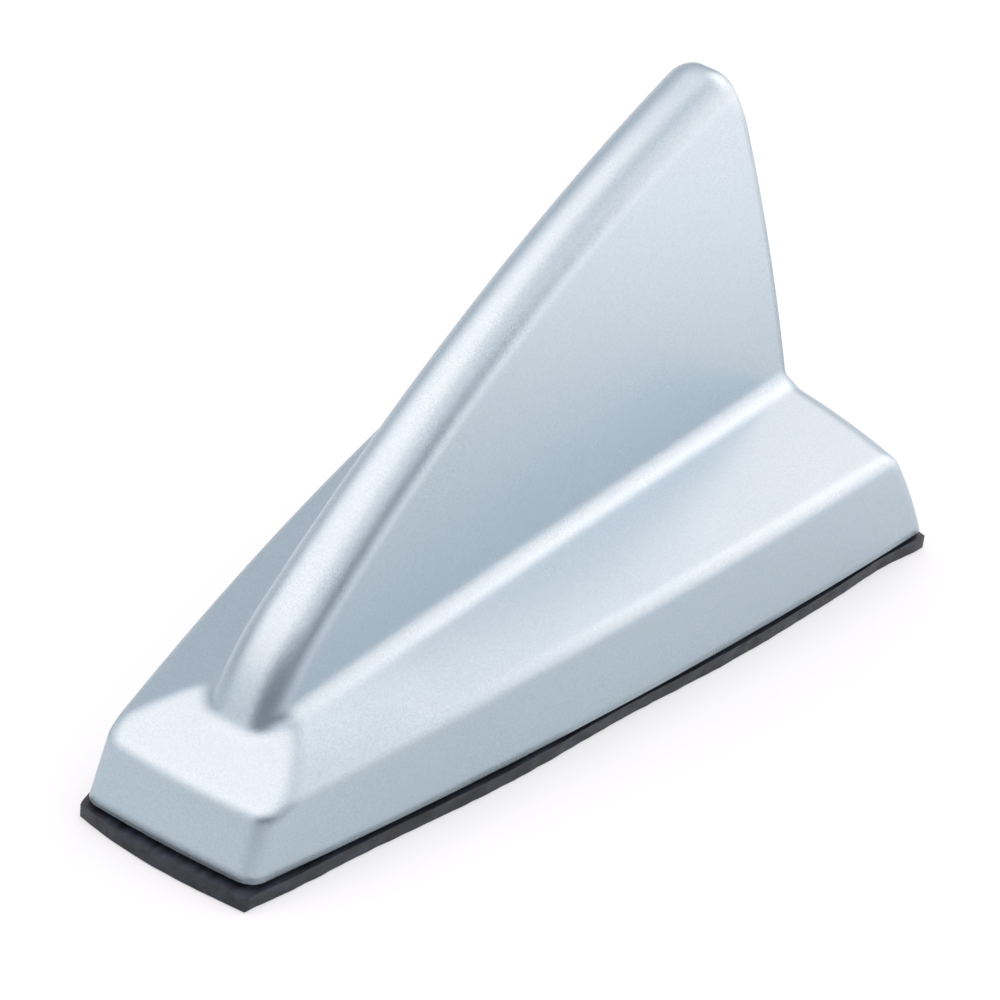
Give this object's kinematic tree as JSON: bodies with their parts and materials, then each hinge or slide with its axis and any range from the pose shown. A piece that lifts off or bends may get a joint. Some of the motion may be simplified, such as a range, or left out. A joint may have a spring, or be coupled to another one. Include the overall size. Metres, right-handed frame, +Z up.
{
  "type": "shark fin aerial",
  "caption": "Roof aerial in the shape of a shark fin: a painted faceted cover on a rubber gasket, with an amplifier board and a folded radiator on a holder inside.",
  "frame": {"origin": "on the roof surface, under the middle of the gasket", "axes": "+X rearwards along the fin, +Y across the fin, +Z up from the roof"},
  "size_m": [0.1436, 0.0674, 0.0745],
  "materials": {
    "cover_paint": "silver metallic paint under a clear coat",
    "gasket_rubber": "matt black, lightly scuffed",
    "base_plastic": "black moulded, fine grain",
    "screw_steel": "zinc plated",
    "pad_foam": "closed-cell foam",
    "grommet_rubber": "black, satin",
    "board_laminate": "green lacquer on glass laminate",
    "holder_plastic": "natural moulded",
    "tinned_sheet": "tinned, drawn",
    "coil_copper": "lacquered copper wire",
    "chip_resin": "black moulded resin",
    "ferrite": "sintered, dark grey",
    "capacitor_can": "drawn can",
    "ceramic": "tan ceramic",
    "connector_metal": "gilded",
    "header_plastic": "ivory moulded"
  },
  "bodies": {
    "root": {"cover": "cover_paint", "roof_gasket": "gasket_rubber", "base_plate": "base_plastic", "base_screws": "screw_steel", "adhesive_pad": "pad_foam", "cable_grommet": "grommet_rubber", "circuit_board": "board_laminate", "board_screws": "screw_steel", "antenna_holder": "holder_plastic", "holder_screws": "screw_steel", "radiator_plate": "tinned_sheet", "loading_coil": "coil_copper", "shield_can": "tinned_sheet", "amplifier_chip": "chip_resin", "tuning_inductors": "ferrite", "filter_capacitor": "capacitor_can", "chip_capacitors": "ceramic", "chip_resistors": "chip_resin", "cable_socket": "connector_metal", "socket_pin": "connector_metal", "supply_header": "header_plastic", "supply_pins": "connector_metal"}
  },
  "joints": []
}
